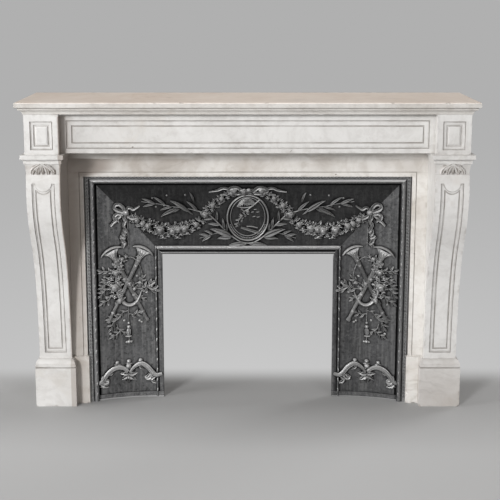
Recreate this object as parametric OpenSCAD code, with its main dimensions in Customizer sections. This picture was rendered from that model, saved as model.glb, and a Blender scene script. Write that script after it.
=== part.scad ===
// A marble chimneypiece with S-shaped console jambs and a splayed insert of decorated cast iron.
// Millimetres. The origin is on the floor in the middle; the front faces -Y and the wall is at +Y.

/* [Overall] */
// Width of the shelf, end to end
width = 1500; // [1460:10:1560]
// Depth from the front edge of the shelf to the wall
depth = 360; // [350:5:400]
// Height from the floor to the top of the shelf
height = 1080; // [1076:1:1090]

/* [Shelf] */
// Thickness of the shelf, moulded edge and all
shelf_t = 40; // [38:1:44]
// How far the shelf stands out past the end blocks
shelf_over = 25; // [22:1:30]

/* [Frieze] */
// Height of the frieze and of its end blocks
frieze_h = 132; // [128:1:134]
// How far the frieze stands behind the shelf's front edge
frieze_back = 58; // [54:1:64]
// Thickness of the frieze slab
frieze_t = 42; // [36:1:48]
// Thickness of the soffit under the frieze
soffit_t = 24; // [20:1:28]
// Depth of the sunk panels
sink = 3; // [2:0.5:4]
// Depth of the fine groove round each sunk panel
edge_groove = 4; // [2:0.5:5]
// Depth of the quirk round each panel's field
quirk_depth = 6; // [4:0.5:9]

/* [Jambs] */
// Width of each jamb and of the block over it
jamb_w = 112; // [108:1:116]
// Height of the carved cap
cap_h = 66; // [62:1:70]
// How far the bulge of the console stands behind the shelf's front edge
bulge_back = 27; // [25:1:30]
// How far the bottom of the console stands behind the shelf's front edge
shin_back = 156; // [150:1:160]
// How far the back of each jamb stands behind the shelf's front edge
jamb_rear = 205; // [202:1:212]

/* [Feet] */
// Height of the foot block, up to its moulding
foot_h = 140; // [134:1:146]
// Height of the moulding on the foot block
foot_mould_h = 30; // [26:1:32]
// How far the foot block stands out on each side of the jamb
foot_over = 14.5; // [12:0.5:17]
// How far the foot block stands behind the shelf's front edge
foot_back = 137; // [134:1:142]

/* [Inner slips] */
// Width of the slips that line the opening
slip_w = 52; // [50:1:56]
// Thickness of the slips
slip_t = 25; // [22:1:26]
// How far the slips stand behind the shelf's front edge
slip_back = 175; // [173:1:178]
// Height of the opening between the slips
hearth_h = 810; // [805:1:815]
// Width of the raised fillet on the slips' inner edge
fillet_w = 13; // [12:1:15]
// Width of the side slabs that run back to the wall
return_t = 25; // [20:1:30]

/* [Iron insert] */
// Half the width of the fire opening
fire_half = 300; // [296:1:306]
// Height of the fire opening
fire_h = 525; // [515:1:530]
// Depth of the splay, from the outer edge of the plates to the inner one
splay = 37; // [30:1:40]
// Thickness of the castings
iron_t = 9; // [7:1:10]
// Width of the moulded outer border
rim_w = 41; // [38:1:44]
// Width of the moulded inner border of the cheeks
lip_w = 28; // [26:1:30]
// Thickness of the larger relief
relief = 7; // [5:0.5:8]

/* [Hidden] */

$fn = 48;
marble = "#dedbd6";
warm_marble = "#c9bfb2";
iron = "#4a4b4d";

block_z1 = height - shelf_t;
block_z0 = block_z1 - frieze_h;
leg_z1 = block_z0 - cap_h;
leg_z0 = foot_h + foot_mould_h;
jamb_out = width / 2 - shelf_over;
jamb_in = jamb_out - jamb_w;
jamb_mid = jamb_out - jamb_w / 2;
hearth_half = jamb_in - slip_w;
slip_rear = slip_back + slip_t;
groove_w = 2;

// The iron's plate lies between the outer border (rim) and the inner border (lip)
lap = 14;
iron_face = slip_rear - 1;
plate_out = hearth_half - rim_w;
plate_in = fire_half + lip_w;
plate_top = hearth_h + 7 - rim_w;
top_lip_w = 31;
plate_low = fire_h + top_lip_w;

// y of a face that stands p behind the shelf's front edge
function at(p) = p - depth / 2;
// A point of a cubic curve
function cubic(c, t) =
    (1 - t) ^ 3 * c[0] + 3 * t * (1 - t) ^ 2 * c[1] + 3 * t ^ 2 * (1 - t) * c[2] + t ^ 3 * c[3];
// The points of a cubic curve after its first
function curve(c, steps) = [for (i = [1:steps]) cubic(c, i / steps)];
function flip(list) = [for (i = [len(list) - 1:-1:0]) list[i]];
// A quarter of a hollow or of a round between two corners, in [height, set-in] pairs
function hollow(z0, z1, i0, i1, steps = 6) =
    [for (k = [0:steps]) let (a = 90 * k / steps) [z0 + (z1 - z0) * sin(a), i0 + (i1 - i0) * (1 - cos(a))]];

// Runs an outline drawn in (y, z) across the width
module across(w) {
    rotate([90, 0, 90]) linear_extrude(w, center = true) children();
}

// Runs an outline drawn in (x, z) from the front p0 back to p1
module through(p0, p1) {
    translate([0, at(p1), 0]) rotate([90, 0, 0]) linear_extrude(p1 - p0) children();
}

module on_side(side) {
    if (side < 0) mirror([1, 0, 0]) children();
    else children();
}

// A stone whose front and ends carry one moulding, given as [height, set-in] pairs from the bottom up
module moulded(steps, half_w, p0, p1, k = 1) {
    z0 = steps[0][0];
    z1 = steps[len(steps) - 1][0];
    intersection() {
        across(2 * half_w + 2)
            polygon(concat([for (s = steps) [at(p0 + k * s[1]), s[0]]], [[at(p1), z1], [at(p1), z0]]));
        through(p0, p1)
            polygon(concat([for (s = steps) [half_w - s[1], s[0]]],
                           [for (s = flip(steps)) [s[1] - half_w, s[0]]]));
    }
}

// A field with sloping edges, w wide and h high about (0, z), that stands t proud of p
module raised_field(w, h, z, p, t, slope) {
    intersection() {
        across(w)
            polygon([[at(p), z - h / 2], [at(p - t), z - h / 2 + slope],
                     [at(p - t), z + h / 2 - slope], [at(p), z + h / 2]]);
        translate([0, 0, z - h / 2]) linear_extrude(h)
            polygon([[-w / 2, at(p)], [-w / 2 + slope, at(p - t)],
                     [w / 2 - slope, at(p - t)], [w / 2, at(p)]]);
    }
}

// The cutter for a sunk panel: a grooved and stepped edge, a shallow bed and a quirk round its field
module sunk_panel(w, h, z, p, bed, frame, quirk) {
    step = 4;
    through(p - 1, p + edge_groove) difference() {
        translate([-w / 2, z - h / 2]) square([w, h]);
        translate([2 - w / 2, 2 + z - h / 2]) square([w - 4, h - 4]);
    }
    through(p - 1, p + bed / 2) translate([-w / 2, z - h / 2]) square([w, h]);
    through(p - 1, p + bed) translate([step - w / 2, step + z - h / 2]) square([w - 2 * step, h - 2 * step]);
    through(p - 1, p + quirk_depth) difference() {
        translate([frame - w / 2, z - h / 2 + frame]) square([w - 2 * frame, h - 2 * frame]);
        translate([frame + quirk - w / 2, z - h / 2 + frame + quirk])
            square([w - 2 * (frame + quirk), h - 2 * (frame + quirk)]);
    }
}

// ---------------------------------------------------------------- the marble

module shelf() {
    z = height - shelf_t;
    steps = concat(
        hollow(z, z + 14, 22, 11),
        [[z + 14.5, 9], [z + 21.5, 9], [z + 22, 3], [z + 24, 0], [height - 3, 0], [height, 3]]);
    color(marble) moulded(steps, width / 2, 0, depth);
}

module frieze() {
    panel_w = 2 * (jamb_in - 19);
    panel_h = frieze_h - 39;
    panel_z = block_z0 + frieze_h / 2 - 4;
    color(marble) difference() {
        across(2 * jamb_in)
            polygon([[at(frieze_back), block_z0], [at(slip_back), block_z0],
                     [at(slip_back), block_z0 + soffit_t], [at(frieze_back + frieze_t), block_z0 + soffit_t],
                     [at(frieze_back + frieze_t), block_z1], [at(frieze_back), block_z1]]);
        sunk_panel(panel_w, panel_h, panel_z, frieze_back, sink, 17, 4);
    }
}

module frieze_block() {
    face = shelf_over;
    panel_w = jamb_w - 39;
    panel_h = frieze_h - 39;
    panel_z = block_z0 + frieze_h / 2 - 4;
    translate([jamb_mid, 0, 0]) {
        difference() {
            through(face, jamb_rear) translate([-jamb_w / 2, block_z0]) square([jamb_w, frieze_h]);
            sunk_panel(panel_w, panel_h, panel_z, face, sink, 11, 5);
        }
        raised_field(panel_w - 34, panel_h - 34, panel_z, face + sink + 0.5, 3, 5);
    }
}

// The front of the console, from the cap down: a bulge, a long hollow and a nearly straight shin
leg_h = leg_z1 - leg_z0;
bow_arcs = [
    [[0.06, 1], [0.02, 0.97], [0, 0.945], [0, 0.908]],
    [[0, 0.908], [0, 0.885], [-0.02, 0.79], [0.36, 0.66]],
    [[0.36, 0.66], [0.94, 0.465], [0.91, 0.175], [1, 0]]
];
bow = concat([bow_arcs[0][0]], curve(bow_arcs[0], 5), curve(bow_arcs[1], 12), curve(bow_arcs[2], 14));
function bow_point(b, deeper = 0) =
    [at(bulge_back + b[0] * (shin_back - bulge_back) + deeper), leg_z0 + b[1] * leg_h];

// The outline of the console's panel: square below, and bitten by a round drop at the top
module panel_outline(w, z0, z1, drop_z) {
    difference() {
        translate([-w / 2, z0]) square([w, z1 - z0]);
        translate([0, drop_z]) circle(27);
    }
}

module leg_recess(depth_in) {
    intersection() {
        across(jamb_w)
            polygon(concat([for (b = bow) bow_point(b, -2)], [for (b = flip(bow)) bow_point(b, depth_in)]));
        through(0, jamb_rear) children();
    }
}

// One lobe of the leaf on the cap: a drop turned about its length, hanging from the origin
module lobe(angle, length) {
    r = 6.5;
    rotate([0, angle, 0]) mirror([0, 0, 1]) rotate_extrude($fn = 24)
        polygon([[0, 0], [2, 0], [r * 0.7, length * 0.4], [r, length * 0.75],
                 [r * 0.8, length * 0.92], [0, length]]);
}

module jamb() {
    outer_z0 = leg_z0 + 22;
    outer_z1 = leg_z1 - 30;
    bell_h = cap_h - 30;
    cap_steps = concat(
        hollow(leg_z1, leg_z1 + bell_h, 14, 9),
        [[leg_z1 + bell_h, 8], [leg_z1 + bell_h + 9, 8], [leg_z1 + bell_h + 15, 3],
         [leg_z1 + bell_h + 16, 0], [block_z0 - 1, 0], [block_z0, 1]]);
    translate([jamb_mid, 0, 0]) difference() {
        union() {
            difference() {
                across(jamb_w)
                    polygon(concat([for (b = bow) bow_point(b)],
                                   [[at(jamb_rear), leg_z0], [at(jamb_rear), leg_z1]]));
                leg_recess(sink / 2) panel_outline(75, outer_z0, outer_z1, outer_z1 + 1);
                leg_recess(sink) panel_outline(67, outer_z0 + 4, outer_z1 - 4, outer_z1 + 1);
                leg_recess(edge_groove) difference() {
                    panel_outline(75, outer_z0, outer_z1, outer_z1 + 1);
                    panel_outline(71, outer_z0 + 2, outer_z1 - 2, outer_z1 - 1);
                }
                leg_recess(quirk_depth) difference() {
                    panel_outline(52, outer_z0 + 13, outer_z1 - 21, outer_z1 - 6);
                    panel_outline(43, outer_z0 + 17.5, outer_z1 - 25.5, outer_z1 - 10.5);
                }
            }
            moulded(cap_steps, jamb_w / 2 + foot_over - 0.5, 13, jamb_rear, 1.6);
            for (i = [-2:2])
                translate([0, at(27), block_z0 - 30]) rotate([18, 0, 0]) lobe(26 * i, 34 + 3 * abs(i));
        }
        // cut back beside the slip
        translate([-jamb_w / 2 - 40, at(slip_back), leg_z1 - 1]) cube([40, 60, cap_h + 2]);
    }
}

module foot_block() {
    steps = concat(
        [[0, 0], [foot_h, 0], [foot_h, 5], [foot_h + 3, 5], [foot_h + 3, 0.5], [foot_h + 12, 0.5]],
        [for (h = hollow(0, foot_mould_h - 13, 0, 12)) [foot_h + 13 + h[0], 2 + h[1]]]);
    plinth_back = slip_back - 7;
    translate([jamb_mid, 0, 0]) difference() {
        moulded(steps, jamb_w / 2 + foot_over, foot_back, jamb_rear, 1.2);
        translate([-jamb_w / 2 - foot_over - 1, at(plinth_back), -1])
            cube([foot_over + 1, jamb_rear, leg_z0 + 2]);
    }
}

module top_slip() {
    mitre = [hearth_half + fillet_w, hearth_h + fillet_w + 2];
    color(warm_marble) difference() {
        through(slip_back, slip_rear)
            polygon([[-hearth_half, hearth_h], [hearth_half, hearth_h], mitre, [jamb_in, mitre[1]],
                     [jamb_in, block_z0 + soffit_t], [-jamb_in, block_z0 + soffit_t],
                     [-jamb_in, mitre[1]], [-mitre[0], mitre[1]]]);
        through(slip_back - 1, slip_back + 3)
            translate([-mitre[0] - groove_w, mitre[1]]) square([2 * (mitre[0] + groove_w), groove_w]);
    }
}

module side_slip() {
    mitre_z = hearth_h + fillet_w + 2;
    difference() {
        through(slip_back, slip_rear)
            polygon([[hearth_half, leg_z0 + 2], [jamb_in, leg_z0 + 2], [jamb_in, mitre_z],
                     [hearth_half + fillet_w, mitre_z], [hearth_half, hearth_h]]);
        through(slip_back - 1, slip_back + 3)
            translate([hearth_half + fillet_w, leg_z0]) square([groove_w, mitre_z - leg_z0]);
    }
}

module slip_plinth() {
    through(slip_back - 7, slip_rear)
        translate([hearth_half - 5, 0]) square([slip_w + 5, leg_z0 + 2]);
}

// A plain slab behind each jamb that closes the side back to the wall
module side_return() {
    inner = jamb_out - 10 - return_t;
    through(jamb_rear, depth)
        polygon([[inner, 0], [jamb_out + 5, 0], [jamb_out + 5, foot_h], [jamb_out - 10, foot_h + 4],
                 [jamb_out - 10, block_z1], [inner, block_z1]]);
}

// ---------------------------------------------------------------- the cast iron

// How far back the splayed face stands at a share t of the way in
function splay_back(t) = iron_face + splay * (1 - (1 - max(0, min(1, t))) ^ 2);
// The same at a place on the insert's front
function iron_back(x, z) =
    splay_back(min((plate_out - abs(x)) / (plate_out - plate_in), (plate_top - z) / (plate_top - plate_low)));

// The section of a casting as [distance in from the marble's edge, distance back] pairs
function section(w, lip) =
    let (plate_w = w - rim_w - lip, s = lip / 28)
    concat(
        [[-lap, slip_rear + 1], [0.8, slip_rear + 1], [1, 186]],
        [for (k = [1:3]) [1 + 3.5 * k, 186 - 3 * sin(45 * k)]],
        [[15, 186], [15.5, 191], [17.5, 191], [18, 186]],
        [for (k = [1:4]) [18 + 3 * k, 186 - 6 * sin(36 * k)]],
        [[33, 186], [34, 205], [rim_w - 1, 205]],
        [for (k = [0:12]) [rim_w + plate_w * k / 12, splay_back(k / 12)]],
        [for (k = [0:4]) [w - lip + s * (1 + 1.8 * k), iron_face + splay - 4 - 4 * sin(45 * k)]],
        [[w - lip + s * 9, iron_face + splay + 6], [w - lip + s * 14, iron_face + splay + 6],
         [w - lip + s * 15, iron_face + splay - 2], [w, iron_face + splay - 2],
         [w, iron_face + splay + iron_t], [w - lip, iron_face + splay + 2 + iron_t]],
        [for (k = [11:-1:1]) [rim_w + plate_w * k / 12, splay_back(k / 12) + iron_t]],
        [[rim_w, 205 + iron_t], [-lap, slip_rear + 1 + iron_t]]);

// Ridge over the iron through [x, z] points, with a radius at each; a closed one is a ring
module ridge(path, radii, closed = false) {
    n = len(path);
    sides = 4;
    points = [for (i = [0:n - 1])
        let (before = closed ? (i + n - 1) % n : max(i - 1, 0), after = closed ? (i + 1) % n : min(i + 1, n - 1),
             d = path[after] - path[before], u = d / norm(d), q = path[i],
             y = at(iron_back(q[0], q[1])), rise = min(radii[i], relief))
        for (k = [0:sides - 1]) let (a = 360 * k / sides)
            [q[0] - u[1] * radii[i] * cos(a), y - rise * sin(a), q[1] + u[0] * radii[i] * cos(a)]];
    walls = [for (i = [0:(closed ? n - 1 : n - 2)]) for (k = [0:sides - 1])
        let (a = i * sides + k, b = i * sides + (k + 1) % sides,
             c = (i + 1) % n * sides + k, d = (i + 1) % n * sides + (k + 1) % sides)
        each [[a, c, b], [b, c, d]]];
    caps = closed ? [] : [[for (k = [0:sides - 1]) k], [for (k = [sides - 1:-1:0]) (n - 1) * sides + k]];
    polyhedron(points, concat(walls, caps));
}

// The same ridge, swelling from its ends to r
module tapered_ridge(path, r) {
    last = len(path) - 1;
    ridge(path, [for (i = [0:last]) r * (0.35 + 0.65 * sin(180 * i / last))]);
}

// A rosette with six sloping sides, sunk a little into the plate
module bud(x, z, r) {
    high = min(0.75 * r, relief);
    translate([x, at(iron_back(x, z)), z]) rotate([90, 0, 0]) hull() {
        translate([0, 0, -3]) cylinder(r = r, h = 3.5, $fn = 6);
        cylinder(r = r * 0.5, h = high, $fn = 6);
    }
}

// A pointed leaf with a raised middle, from (x, z), turned by angle from straight up
module leaf(x, z, angle, length, w) {
    along = [sin(angle), cos(angle)];
    outline = [[0, 0], [0.4, w], [1, 0], [0.4, -w], [0.35, 0]];
    spots = [for (o = outline) [x + o[0] * length * along[0] + o[1] * along[1],
                                z + o[0] * length * along[1] - o[1] * along[0]]];
    rise = [-0.5, -0.5, -0.5, -0.5, 0.8 * w];
    polyhedron(
        concat([for (i = [0:4]) [spots[i][0], at(iron_back(spots[i][0], spots[i][1]) - rise[i]), spots[i][1]]],
               [[spots[4][0], at(iron_back(spots[4][0], spots[4][1]) + 5), spots[4][1]]]),
        [for (i = [0:3]) each [[(i + 1) % 4, i, 4], [i, (i + 1) % 4, 5]]]);
}

function arc(cx, cz, rx, rz, a0, a1, n) =
    [for (i = [0:n]) let (a = a0 + (a1 - a0) * i / n) [cx + rx * cos(a), cz + rz * sin(a)]];
// A hanging swag between two points, with its lowest point sag below their middle
function swag(a, b, sag, n) =
    [for (i = [0:n]) let (t = i / n) [a[0] + (b[0] - a[0]) * t, a[1] + (b[1] - a[1]) * t - 4 * sag * t * (1 - t)]];

// A garland: a stem with a flower at each point of its path
module garland(path, stem_r, r0, r1) {
    n = len(path) - 1;
    tapered_ridge(path, stem_r);
    for (i = [0:n]) bud(path[i][0], path[i][1], r0 + (r1 - r0) * sin(180 * i / n));
}

// A sprig: a stem with pairs of leaves along it
module sprig(path, length, w) {
    tapered_ridge(path, 2.5);
    for (i = [1:len(path) - 1])
        let (d = path[i] - path[i - 1], heading = atan2(d[0], d[1]))
        for (s = [-1, 1]) leaf(path[i][0], path[i][1], heading + 38 * s, length, w);
}

medal_z = (plate_top + plate_low) / 2 - 9;
swag_start = [426, 668];
swag_end = [150, 662];

module medallion() {
    ridge(arc(0, medal_z, 64, 80, 0, 345, 23), [for (i = [0:23]) relief * 0.85], closed = true);
    // a broad straw hat, a shepherd's crook and a pipe
    hat = [-8, at(iron_back(0, medal_z + 26)), medal_z + 26];
    translate(hat) scale([1, 0.15, 0.6]) sphere(30, $fn = 16);
    translate(hat + [0, 0, 8]) scale([1, 0.45, 0.8]) sphere(16, $fn = 12);
    ridge(concat([[-34, medal_z - 48], [20, medal_z + 30]], arc(30, medal_z + 40, 10, 10, 200, -20, 6)),
          [for (i = [0:8]) 3]);
    ridge([[-36, medal_z - 38], [0, medal_z - 44], [38, medal_z - 40]], [4, 3.5, 2.5]);
}

module iron_top_plate() {
    z_edge = plate_top + rim_w;
    seam = [[plate_in - lip_w, fire_h], [plate_in, plate_low], [plate_out, plate_top],
            [hearth_half + lap, z_edge + lap]];
    color(iron) union() {
        difference() {
            intersection() {
                across(2 * (hearth_half + lap))
                    polygon([for (s = section(z_edge - fire_h, top_lip_w)) [at(s[1]), z_edge - s[0]]]);
                through(slip_back, depth)
                    polygon(concat(seam, [for (s = flip(seam)) [-s[0], s[1]]]));
            }
            // cut back behind the marble
            translate([-hearth_half - lap, at(slip_back), hearth_h - 2])
                cube([2 * (hearth_half + lap), slip_t + 1, 60]);
        }
        medallion();
        for (side = [-1, 1]) on_side(side) {
            garland(swag(swag_start, swag_end, 62, 10), relief, 9, 14);
            garland(arc(0, medal_z + 2, 116, 106, 176, 97, 5), relief * 0.8, 10, 13);
            sprig(arc(0, medal_z + 60, 176, 150, 274, 214, 5), 30, 8);
            sprig(arc(330, 616, 170, 102, 158, 78, 4), 26, 5);
        }
    }
}

// A flared horn from its mouthpiece to its bell, flat against the iron
module horn(foot, bell) {
    shares = [0, 0.35, 0.7, 0.84, 0.93, 0.98, 1];
    ridge([for (t = shares) foot + t * (bell - foot)], [3, 4, 6, 10, 18, 30, 33]);
}

module iron_cheek() {
    seam = [[hearth_half + lap, plate_top + rim_w + lap], [plate_out, plate_top],
            [plate_in, plate_low], [fire_half, fire_h]];
    trophy_x = 424;
    trophy_z = 422;
    union() {
        intersection() {
            linear_extrude(hearth_h + 30)
                polygon([for (s = section(hearth_half - fire_half, lip_w)) [hearth_half - s[0], at(s[1])]]);
            through(slip_back, depth) polygon(concat([[fire_half, 0], [hearth_half + lap, 0]], seam));
        }
        // the bow and its ribbon
        for (s = [-1, 1]) {
            tapered_ridge(arc(trophy_x + 17 * s, 682, 15, 12, 15, 345, 7), 4.5);
            tapered_ridge([[trophy_x + 3 * s, 674], [trophy_x + 16 * s, 660], [trophy_x + 24 * s, 638]], 4);
        }
        bud(trophy_x, 682, 9);
        tapered_ridge([[trophy_x, 672], [trophy_x - 3, 640], [trophy_x + 3, 600], [trophy_x, 552]], 4);
        // two crossed horns and a wreath
        horn([trophy_x - 68, 283], [trophy_x + 52, 545]);
        horn([trophy_x + 68, 283], [trophy_x - 56, 545]);
        ridge(arc(trophy_x - 14, trophy_z + 4, 43, 86, 0, 340, 17), [for (i = [0:17]) 4.5], closed = true);
        for (q = arc(trophy_x - 14, trophy_z + 4, 43, 86, 65, -65, 5)) bud(q[0] + 4, q[1], 12);
        for (s = [-1, 1]) for (i = [0:2]) leaf(trophy_x + 34 * s, trophy_z - 46 + 26 * i, (62 + 10 * i) * s, 40, 7);
        for (s = [-1, 1]) for (i = [0:1]) leaf(trophy_x + 10 * s, 318 - 22 * i, (128 - 24 * i) * s, 36, 7);
        // a bead tassel
        for (i = [0:2]) bud(trophy_x - 4, 268 - 20 * i, 9 - i);
        // the scrolls at the bottom
        tapered_ridge(concat([[536, 58]], arc(448, 62, 64, 54, 8, 96, 6), [[424, 98]]), 8);
        tapered_ridge(concat(arc(378, 62, 40, 58, 10, 175, 8), [[312, 84]]), 8);
        for (i = [-1:1]) bud(trophy_x - 4 + 40 * i, 132 + 4 * (1 - abs(i)), 7);
        leaf(trophy_x - 2, 100, 180, 34, 9);
    }
}

shelf();
frieze();
on_side(-1) color(marble) frieze_block();  // left_frieze_block
on_side(1) color(marble) frieze_block();  // right_frieze_block
on_side(-1) color(marble) jamb();  // left_jamb
on_side(1) color(marble) jamb();  // right_jamb
on_side(-1) color(marble) foot_block();  // left_foot_block
on_side(1) color(marble) foot_block();  // right_foot_block
top_slip();
on_side(-1) color(warm_marble) side_slip();  // left_slip
on_side(1) color(warm_marble) side_slip();  // right_slip
on_side(-1) color(warm_marble) slip_plinth();  // left_slip_plinth
on_side(1) color(warm_marble) slip_plinth();  // right_slip_plinth
on_side(-1) color(marble) side_return();  // left_return
on_side(1) color(marble) side_return();  // right_return
iron_top_plate();
on_side(-1) color(iron) iron_cheek();  // iron_left_cheek
on_side(1) color(iron) iron_cheek();  // iron_right_cheek
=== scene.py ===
import math

import bmesh
import bpy
import numpy as np
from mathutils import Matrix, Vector


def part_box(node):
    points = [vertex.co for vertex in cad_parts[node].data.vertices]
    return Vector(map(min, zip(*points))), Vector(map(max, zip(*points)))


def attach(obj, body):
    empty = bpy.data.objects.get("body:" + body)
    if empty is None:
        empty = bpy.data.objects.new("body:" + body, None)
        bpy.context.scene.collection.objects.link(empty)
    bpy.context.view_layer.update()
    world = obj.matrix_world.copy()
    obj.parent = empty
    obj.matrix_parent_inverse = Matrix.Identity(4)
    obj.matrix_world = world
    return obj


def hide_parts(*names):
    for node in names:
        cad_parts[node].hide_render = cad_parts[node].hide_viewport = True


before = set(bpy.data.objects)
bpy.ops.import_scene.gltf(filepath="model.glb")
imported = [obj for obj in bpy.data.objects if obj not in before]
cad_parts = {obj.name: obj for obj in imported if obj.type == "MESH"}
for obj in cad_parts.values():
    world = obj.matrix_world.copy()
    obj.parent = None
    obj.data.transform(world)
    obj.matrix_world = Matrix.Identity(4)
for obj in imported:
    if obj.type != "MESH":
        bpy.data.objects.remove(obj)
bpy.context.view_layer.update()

# ------------------------------------------------------------------ sizes, in millimetres
MM = 0.001
DEPTH = 1000 * (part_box("shelf")[1].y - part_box("shelf")[0].y)
OPENING = 1000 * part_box("right_slip")[0].x      # half the width between the marble slips
EDGE_Z = 817                                    # where the iron passes behind the marble on top
RIM = 41                                        # width of the moulded outer border
LAP = 14                                        # how far the iron passes behind the marble
FACE = 199                                      # depth of the plates at their outer edge
SPLAY = 37                                      # how much deeper they are at their inner edge
IRON_T = 9
PLATE_OUT, PLATE_IN = OPENING - RIM, 328
PLATE_TOP, PLATE_LOW = EDGE_Z - RIM, 556
FIRE_HALF, FIRE_H = 300, 525
MEDAL_Z = 657
BOLD = 1.35                                     # how much prouder the castings stand than they are drawn
BORDER_LIFT = 16.6                              # how far the outer border's leaves stand off the plate
ARRIS = 0.8                                     # how far the marble's edges are rubbed down
JAMB_X = 669                                    # the middle of a jamb and of its cap
CAP_LOW, CAP_RISE, CAP_FRONT = 842, 36, 13      # foot, height and setback of the bell of a cap

BACKDROP = (0.434, 0.434, 0.434)


def splayed(share):
    """The depth of the iron at a share of the way in across a plate."""
    return FACE + SPLAY * (1 - (1 - share) ** 2)


def plate_depth(x, z):
    """How far behind the shelf's front edge the splayed iron lies."""
    inward = np.minimum((PLATE_OUT - np.abs(x)) / (PLATE_OUT - PLATE_IN),
                        (PLATE_TOP - z) / (PLATE_TOP - PLATE_LOW))
    return splayed(np.clip(inward, 0, 1))


# ------------------------------------------------------------------ camera and lamps
def new_object(name, data):
    """An object that stands in the scene."""
    made = bpy.data.objects.new(name, data)
    bpy.context.collection.objects.link(made)
    return made


def set_camera():
    """A long lens in front, a little above the shelf, that looks down at the fire opening."""
    back, up, looks_down = 3.347, 1.42, 9.97
    data = bpy.data.cameras.new("camera")
    data.sensor_width = 36
    data.lens = 75.6
    data.shift_x = 0.0044
    data.shift_y = -0.1412
    camera = new_object("camera", data)
    camera.location = (0, -DEPTH / 2 * MM - back, up)
    camera.rotation_euler = (math.radians(90 - looks_down), 0, 0)
    bpy.context.scene.camera = camera


def lamp(name, place, aim, size, watts):
    """A soft white lamp that faces the point aim."""
    data = bpy.data.lights.new(name, "AREA")
    data.shape = "RECTANGLE"
    data.size, data.size_y = size
    data.energy = watts
    lit = new_object(name, data)
    lit.location = place
    lit.rotation_euler = (Vector(aim) - Vector(place)).to_track_quat("-Z", "Y").to_euler()


# ------------------------------------------------------------------ node trees
def node(tree, kind, inputs=None, **settings):
    """A node with its settings, each input linked to a socket or set to a value."""
    made = tree.nodes.new(kind)
    for key, value in settings.items():
        setattr(made, key, value)
    for key, value in (inputs or {}).items():
        if isinstance(value, bpy.types.NodeSocket):
            tree.links.new(value, made.inputs[key])
        else:
            made.inputs[key].default_value = value
    return made


def maths(operation, a, b=0.0, clamp=False):
    """One sum on sockets or numbers, in the tree of its sockets; the four below are its short forms."""
    tree = (a if isinstance(a, bpy.types.NodeSocket) else b).id_data
    return node(tree, "ShaderNodeMath", {0: a, 1: b}, operation=operation, use_clamp=clamp).outputs[0]


def times(a, b, clamp=False):
    return maths("MULTIPLY", a, b, clamp)


def plus(a, b):
    return maths("ADD", a, b)


def minus(a, b):
    return maths("SUBTRACT", a, b)


def most(a, b):
    return maths("MAXIMUM", a, b)


def here(tree):
    """The place on the object, in metres."""
    return node(tree, "ShaderNodeTexCoord").outputs["Object"]


def each_of(vector):
    """The three parts of a vector."""
    return node(vector.id_data, "ShaderNodeSeparateXYZ", {0: vector}).outputs


def ramp(value, low, high, out_low=0.0, out_high=1.0):
    """Turns smoothly from out_low at low to out_high at high."""
    return node(value.id_data, "ShaderNodeMapRange",
                {"Value": value, "From Min": low, "From Max": high, "To Min": out_low, "To Max": out_high},
                interpolation_type="SMOOTHSTEP").outputs[0]


def tint(share, a, b):
    """a where share is 0, turning to b where it is 1."""
    a, b = [colour if isinstance(colour, bpy.types.NodeSocket) else (*colour, 1) for colour in (a, b)]
    return node(share.id_data, "ShaderNodeMix", {0: share, 6: a, 7: b}, data_type="RGBA").outputs[2]


def grain_of(where, scale, detail=3.0, rough=0.5, warp=0.0):
    """Noise of the given scale, from 0 to 1."""
    return node(where.id_data, "ShaderNodeTexNoise",
                {"Vector": where, "Scale": scale, "Detail": detail, "Roughness": rough,
                 "Distortion": warp}).outputs[0]


def new_group(name, inputs, outputs, kind="ShaderNodeTree"):
    """A node group with its inputs and their values, its outputs, and the sockets at both its ends."""
    group = bpy.data.node_groups.new(name, kind)
    for label, socket, value in inputs:
        made = group.interface.new_socket(label, in_out="INPUT", socket_type="NodeSocket" + socket)
        if value is not None:
            made.default_value = value
    for label, socket in outputs:
        group.interface.new_socket(label, in_out="OUTPUT", socket_type="NodeSocket" + socket)
    return group, group.nodes.new("NodeGroupInput").outputs, group.nodes.new("NodeGroupOutput").inputs


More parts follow.
